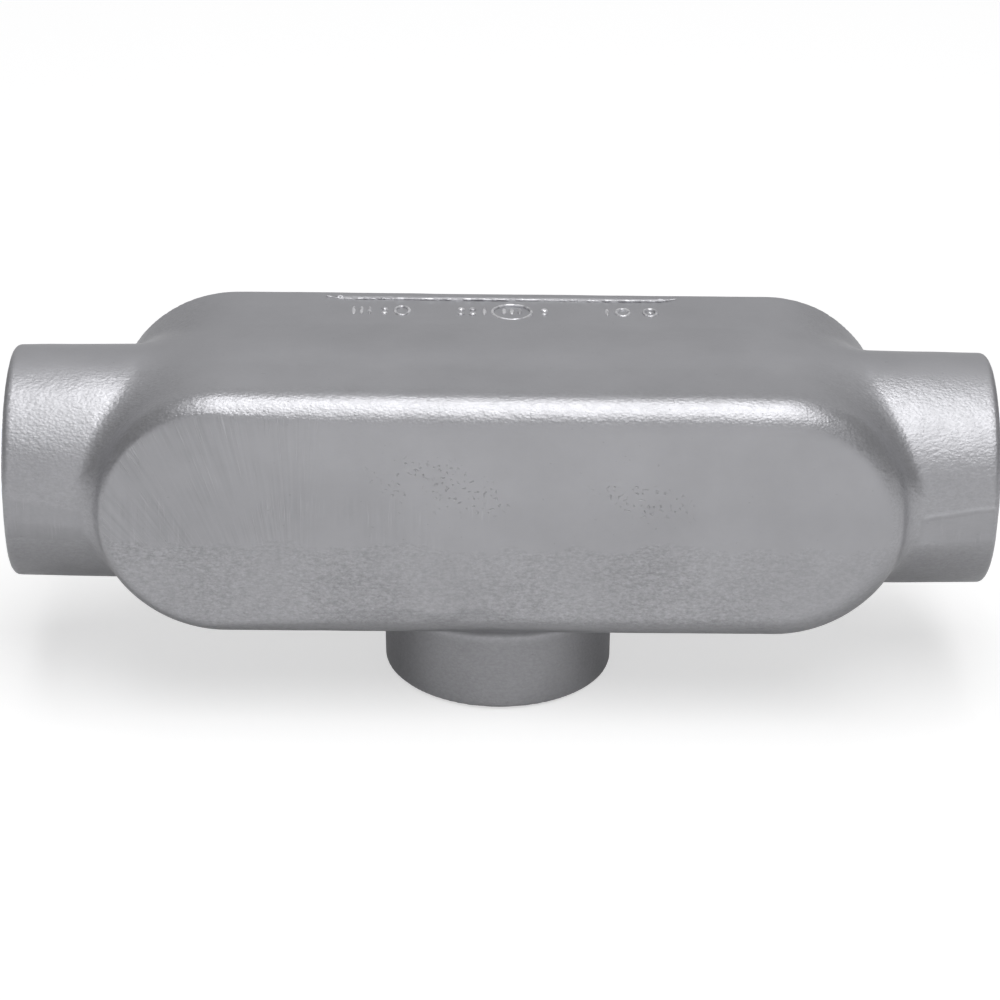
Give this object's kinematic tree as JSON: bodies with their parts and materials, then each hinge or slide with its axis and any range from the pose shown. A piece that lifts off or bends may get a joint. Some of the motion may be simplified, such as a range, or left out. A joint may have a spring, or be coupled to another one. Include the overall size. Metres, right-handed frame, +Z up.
{
  "type": "conduit body",
  "caption": "Type T threaded conduit body: a stadium-shaped metal casting with hubs at both ends and one on its side, a closed back, and a gasketed cover held by slotted screws.",
  "frame": {"origin": "centre of the branch hub's mouth, on the plane that the part stands on", "axes": "+Z up, away from the branch; X along the run; -Y towards the closed back, +Y towards the cover"},
  "size_m": [0.147, 0.048, 0.0524],
  "materials": {
    "casting": "sand-cast malleable iron under aluminium paint",
    "gasket": "matt neoprene sheet",
    "cover": "stamped steel under aluminium paint",
    "screws": "bright stainless steel"
  },
  "bodies": {
    "root": {"body_casting": "casting", "cover_gasket": "gasket", "cover_plate": "cover", "cover_screw_left": "screws", "cover_screw_right": "screws"}
  },
  "joints": []
}
